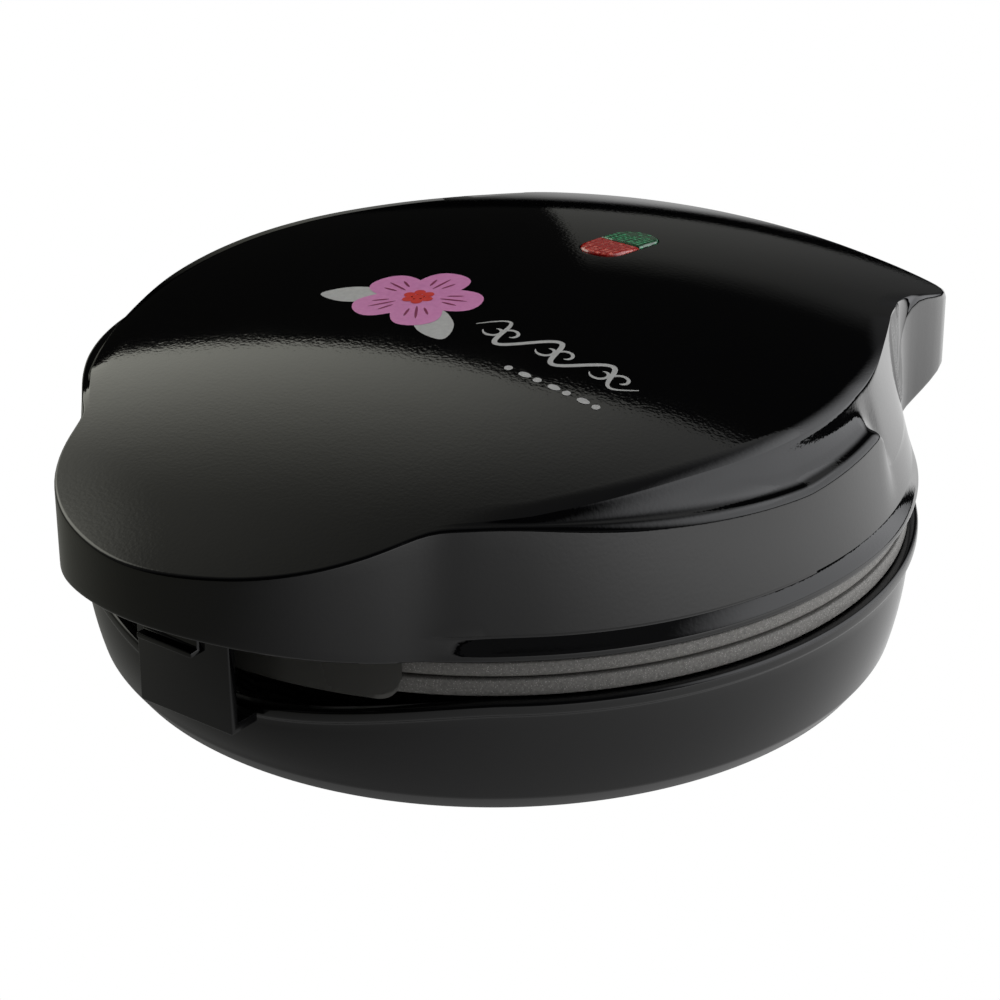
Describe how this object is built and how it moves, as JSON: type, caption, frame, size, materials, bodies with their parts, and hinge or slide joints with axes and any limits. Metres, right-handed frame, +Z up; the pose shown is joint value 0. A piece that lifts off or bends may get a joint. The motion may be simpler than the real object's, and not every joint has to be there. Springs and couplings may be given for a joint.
{
  "type": "cupcake maker",
  "caption": "Round countertop cupcake maker: a hinged, crowned lid over a shallow base, each with a non-stick plate of wells, and a sprung latch under the handle.",
  "frame": {"origin": "centre of the bounding box's bottom face, on the surface that the feet stand on", "axes": "-Y to the front handle, +Y to the hinge, +X to the right seen from the front, +Z up"},
  "size_m": [0.224, 0.2656, 0.0939],
  "materials": {
    "black_gloss": "high gloss",
    "black_matte": "matt",
    "nonstick": "textured non-stick coating",
    "aluminium_sheet": "bright rolled",
    "heater_sheath": "annealed",
    "steel": "bright zinc",
    "bracket_steel": "pressed sheet",
    "rubber": "matt",
    "ceramic": "unglazed ceramic",
    "red_lens": "clear red",
    "green_lens": "clear green",
    "lamp_glass": "clear"
  },
  "bodies": {
    "base": {"base_housing": "black_gloss", "bottom_cover": "black_matte", "bottom_cover_screw_1": "steel", "bottom_cover_screw_2": "steel", "bottom_cover_screw_3": "steel", "cord_gland": "rubber", "front_left_foot": "rubber", "front_right_foot": "rubber", "latch_keeper": "black_gloss", "left_hinge_pin": "steel", "lower_baking_plate": "nonstick", "lower_heating_element": "heater_sheath", "lower_plate_screw_1": "steel", "lower_plate_screw_2": "steel", "lower_plate_screw_3": "steel", "lower_reflector": "aluminium_sheet", "rear_left_foot": "rubber", "rear_right_foot": "rubber", "right_hinge_pin": "steel", "terminal_block": "ceramic", "thermal_fuse": "steel", "thermostat": "ceramic"},
    "lid": {"front_apron": "black_gloss", "green_lens": "green_lens", "green_neon_lamp": "lamp_glass", "handle_cover_screw_1": "steel", "handle_cover_screw_2": "steel", "handle_lower_cover": "black_gloss", "hinge_bracket_screw_1": "steel", "hinge_bracket_screw_2": "steel", "lamp_tray": "ceramic", "latch_pin": "steel", "latch_spring": "steel", "lid_cover": "black_gloss", "lid_hinge_bracket": "bracket_steel", "red_lens": "red_lens", "red_neon_lamp": "lamp_glass", "upper_baking_plate": "nonstick", "upper_heating_element": "heater_sheath", "upper_plate_screw_1": "steel", "upper_plate_screw_2": "steel", "upper_plate_screw_3": "steel", "upper_reflector": "aluminium_sheet"},
    "latch": {"latch_lever": "black_gloss"}
  },
  "joints": [
    {"name": "lid_hinge", "type": "hinge", "parent": "base", "child": "lid", "pos_m": [0, 0.12075, 0.044], "axis": [-1, 0, 0], "range_deg": [0, 95]},
    {"name": "latch_pivot", "type": "hinge", "parent": "lid", "child": "latch", "pos_m": [0, -0.12045, 0.063], "axis": [-1, 0, 0], "range_deg": [0, 20], "stiffness_Nm_per_rad": 0.02, "springref_deg": -20.05}
  ]
}
